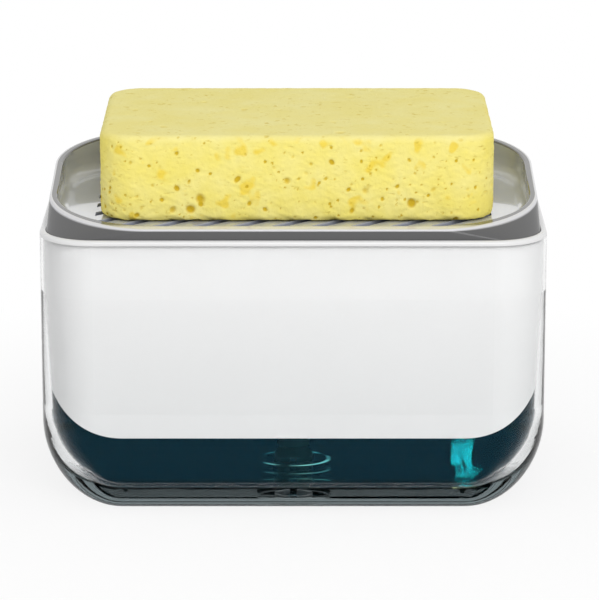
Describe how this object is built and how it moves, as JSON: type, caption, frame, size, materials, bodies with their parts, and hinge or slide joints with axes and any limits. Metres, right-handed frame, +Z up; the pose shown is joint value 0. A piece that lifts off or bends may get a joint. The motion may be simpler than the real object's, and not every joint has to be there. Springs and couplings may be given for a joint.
{
  "type": "soap pump caddy",
  "caption": "Clear soap tank with a white sleeve and a slotted sponge tray on top: pressing the tray works a piston pump that brings soap up through the tray's centre into the sponge.",
  "frame": {"origin": "middle of the tank's base, on the surface it stands on", "axes": "+X along the long side, to the right seen from the front; +Y to the back; +Z up"},
  "size_m": [0.14, 0.09, 0.1032],
  "materials": {
    "clear_plastic": "clear, polished",
    "white_plastic": "smooth, satin gloss",
    "soap": "dark teal liquid",
    "seal_rubber": "translucent silicone",
    "pump_plastic": "moulded",
    "spring_steel": "drawn wire",
    "tube_plastic": "extruded, translucent",
    "valve_steel": "polished",
    "smoke_plastic": "smoky clear, polished",
    "piston_plastic": "moulded, soft",
    "sponge_foam": "open-pored"
  },
  "bodies": {
    "base": {"tank": "clear_plastic", "white_sleeve": "white_plastic", "liquid_soap": "soap"},
    "deck_unit": {"deck": "white_plastic", "deck_seal": "seal_rubber", "pump_barrel": "pump_plastic", "collar_gasket": "seal_rubber", "pump_collar": "pump_plastic", "stem_guide": "pump_plastic", "spring_seat": "pump_plastic", "return_spring": "spring_steel", "dip_tube": "tube_plastic", "suction_foot": "pump_plastic"},
    "tray_unit": {"press_tray": "smoke_plastic", "outlet_nozzle": "pump_plastic", "piston_stem": "pump_plastic", "piston": "piston_plastic", "stem_seal": "seal_rubber"},
    "inlet_valve": {"inlet_ball": "valve_steel"},
    "outlet_valve": {"outlet_ball": "valve_steel"},
    "sponge_block": {"sponge": "sponge_foam"}
  },
  "joints": [
    {"name": "deck_lift", "type": "slide", "parent": "base", "child": "deck_unit", "axis": [0, 0, 1], "range_m": [0, 0.085]},
    {"name": "tray_press", "type": "slide", "parent": "deck_unit", "child": "tray_unit", "axis": [0, 0, -1], "range_m": [0, 0.01], "stiffness_N_per_m": 600, "springref_m": -0.006, "deforming": ["return_spring"]},
    {"name": "sponge_lift", "type": "slide", "parent": "tray_unit", "child": "sponge_block", "axis": [0, 0, 1], "range_m": [0, 0.05]},
    {"name": "inlet_ball_lift", "type": "slide", "parent": "deck_unit", "child": "inlet_valve", "axis": [0, 0, 1], "range_m": [0, 0.0012]},
    {"name": "outlet_ball_lift", "type": "slide", "parent": "tray_unit", "child": "outlet_valve", "axis": [0, 0, 1], "range_m": [0, 0.001]}
  ]
}
